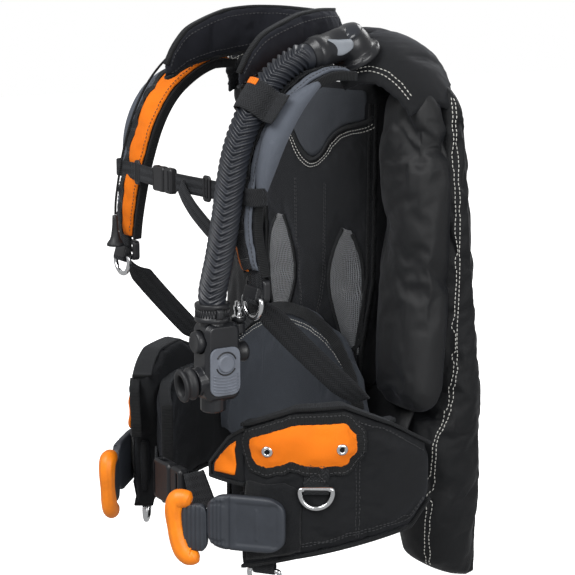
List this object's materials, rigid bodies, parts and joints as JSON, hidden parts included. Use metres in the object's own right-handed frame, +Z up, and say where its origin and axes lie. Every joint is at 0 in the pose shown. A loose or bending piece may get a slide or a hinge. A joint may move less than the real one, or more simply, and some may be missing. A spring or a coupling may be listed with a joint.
{
  "type": "buoyancy compensator vest",
  "caption": "Diver's buoyancy vest with air cell, padded straps, power inflator, weight pouches, buckles, D-rings, dump valves and tank band.",
  "frame": {"origin": "centre of the backplate's flat rear face, where the tank rests", "axes": "+Z up, +X to the wearer's left, the wearer faces -Y, +Y out of the tank rest"},
  "size_m": [0.405, 0.3729, 0.6091],
  "materials": {
    "black_fabric": "woven nylon",
    "neoprene": "soft lined foam",
    "grey_fabric": "woven, matt",
    "orange_fabric": "woven, coated",
    "webbing": "ribbed webbing",
    "black_plastic": "semi-gloss moulding",
    "grey_rubber": "matt rubber",
    "orange_rubber": "satin rubber",
    "hose_rubber": "satin corrugated rubber",
    "steel": "polished stainless steel"
  },
  "bodies": {
    "vest": {"air_lobe_left": "neoprene", "air_lobe_right": "neoprene", "back_pad": "neoprene", "backplate": "black_plastic", "cam_buckle": "black_plastic", "cargo_pocket_left": "black_fabric", "cargo_pocket_right": "black_fabric", "chest_buckle_female": "black_plastic", "chest_webbing_right": "webbing", "collar": "neoprene", "elbow": "black_plastic", "hose_retainer": "webbing", "hose_upper": "hose_rubber", "ladder_buckle_left": "black_plastic", "ladder_buckle_right": "black_plastic", "lower_webbing_left": "webbing", "lower_webbing_right": "webbing", "lumbar_pad": "grey_fabric", "rear_pull_cord": "webbing", "rear_valve_body": "black_plastic", "rear_valve_cap": "black_plastic", "shoulder_pull_cord": "webbing", "shoulder_strap_left": "orange_fabric", "shoulder_strap_right": "orange_fabric", "shoulder_valve_body": "black_plastic", "shoulder_valve_cap": "black_plastic", "shoulder_valve_disc": "grey_rubber", "tank_band": "webbing", "top_yoke": "black_fabric", "waist_buckle_female": "black_plastic", "waist_panel_left": "black_fabric", "waist_panel_right": "black_fabric", "waist_webbing_right": "webbing", "weight_receiver_left": "grey_rubber", "weight_receiver_right": "grey_rubber", "wing_left": "black_fabric", "wing_right": "black_fabric"},
    "inflator": {"hose_lower": "hose_rubber", "hose_clamp": "black_plastic", "inflator_body": "black_plastic", "inflator_insert": "grey_rubber", "mouthpiece": "black_plastic", "hose_nipple": "steel"},
    "inflate_button": {"inflate_button": "black_plastic"},
    "deflate_button": {"deflate_button": "black_plastic"},
    "shoulder_pull": {"shoulder_pull_knob": "black_plastic"},
    "rear_pull": {"rear_pull_knob": "black_plastic"},
    "chest_male": {"chest_buckle_male": "black_plastic", "chest_webbing_left": "webbing"},
    "waist_male": {"waist_buckle_male": "black_plastic", "waist_webbing_left": "webbing"},
    "cam_lever": {"cam_lever": "black_plastic"},
    "shoulder_ring_left": {"shoulder_ring_left": "steel"},
    "pocket_ring_left": {"pocket_ring_left": "steel"},
    "hem_ring_left": {"hem_ring_left": "steel"},
    "weight_pouch_left": {"weight_pouch_left": "orange_rubber"},
    "shoulder_ring_right": {"shoulder_ring_right": "steel"},
    "pocket_ring_right": {"pocket_ring_right": "steel"},
    "hem_ring_right": {"hem_ring_right": "steel"},
    "weight_pouch_right": {"weight_pouch_right": "orange_rubber"}
  },
  "joints": [
    {"name": "shoulder_ring_left_swing", "type": "hinge", "parent": "vest", "child": "shoulder_ring_left", "pos_m": [0.142, -0.224, 0.006], "axis": [-1, 0, 0], "range_deg": [0, 55]},
    {"name": "shoulder_ring_right_swing", "type": "hinge", "parent": "vest", "child": "shoulder_ring_right", "pos_m": [-0.142, -0.224, 0.006], "axis": [-1, 0, 0], "range_deg": [0, 55]},
    {"name": "pocket_ring_left_swing", "type": "hinge", "parent": "vest", "child": "pocket_ring_left", "pos_m": [0.1798, -0.17342, -0.188], "axis": [-0.5208, -0.8537, 0], "range_deg": [0, 75]},
    {"name": "pocket_ring_right_swing", "type": "hinge", "parent": "vest", "child": "pocket_ring_right", "pos_m": [-0.1798, -0.17342, -0.188], "axis": [-0.5208, 0.8537, 0], "range_deg": [0, 75]},
    {"name": "hem_ring_left_swing", "type": "hinge", "parent": "vest", "child": "hem_ring_left", "pos_m": [0.12984, -0.20421, -0.282], "axis": [-0.7891, -0.6143, 0], "range_deg": [0, 75]},
    {"name": "hem_ring_right_swing", "type": "hinge", "parent": "vest", "child": "hem_ring_right", "pos_m": [-0.12984, -0.20421, -0.282], "axis": [-0.7891, 0.6143, 0], "range_deg": [0, 75]},
    {"name": "inflator_swing", "type": "hinge", "parent": "vest", "child": "inflator", "pos_m": [0.12641, -0.22186, 0.17626], "axis": [-1, 0, 0], "range_deg": [0, 28]},
    {"name": "inflate_button_press", "type": "slide", "parent": "inflator", "child": "inflate_button", "axis": [0, 1, 0], "range_m": [0, 0.0025], "stiffness_N_per_m": 600},
    {"name": "deflate_button_press", "type": "slide", "parent": "inflator", "child": "deflate_button", "axis": [0, -1, 0], "range_m": [0, 0.003], "stiffness_N_per_m": 600},
    {"name": "shoulder_pull_draw", "type": "slide", "parent": "vest", "child": "shoulder_pull", "axis": [0, 0, -1], "range_m": [0, 0.012], "stiffness_N_per_m": 400},
    {"name": "rear_pull_draw", "type": "slide", "parent": "vest", "child": "rear_pull", "axis": [0, 0, -1], "range_m": [0, 0.012], "stiffness_N_per_m": 400},
    {"name": "chest_buckle_release", "type": "slide", "parent": "vest", "child": "chest_male", "axis": [1, 0, 0], "range_m": [0, 0.02]},
    {"name": "waist_buckle_release", "type": "slide", "parent": "vest", "child": "waist_male", "axis": [1, 0, 0], "range_m": [0, 0.025]},
    {"name": "weight_pouch_left_draw", "type": "slide", "parent": "vest", "child": "weight_pouch_left", "axis": [-0.7375, -0.6754, 0], "range_m": [0, 0.09]},
    {"name": "weight_pouch_right_draw", "type": "slide", "parent": "vest", "child": "weight_pouch_right", "axis": [0.7375, -0.6754, 0], "range_m": [0, 0.09]},
    {"name": "cam_lever_open", "type": "hinge", "parent": "vest", "child": "cam_lever", "pos_m": [-0.026, 0.0726, 0.04], "axis": [0, 0, 1], "range_deg": [0, 100]}
  ]
}
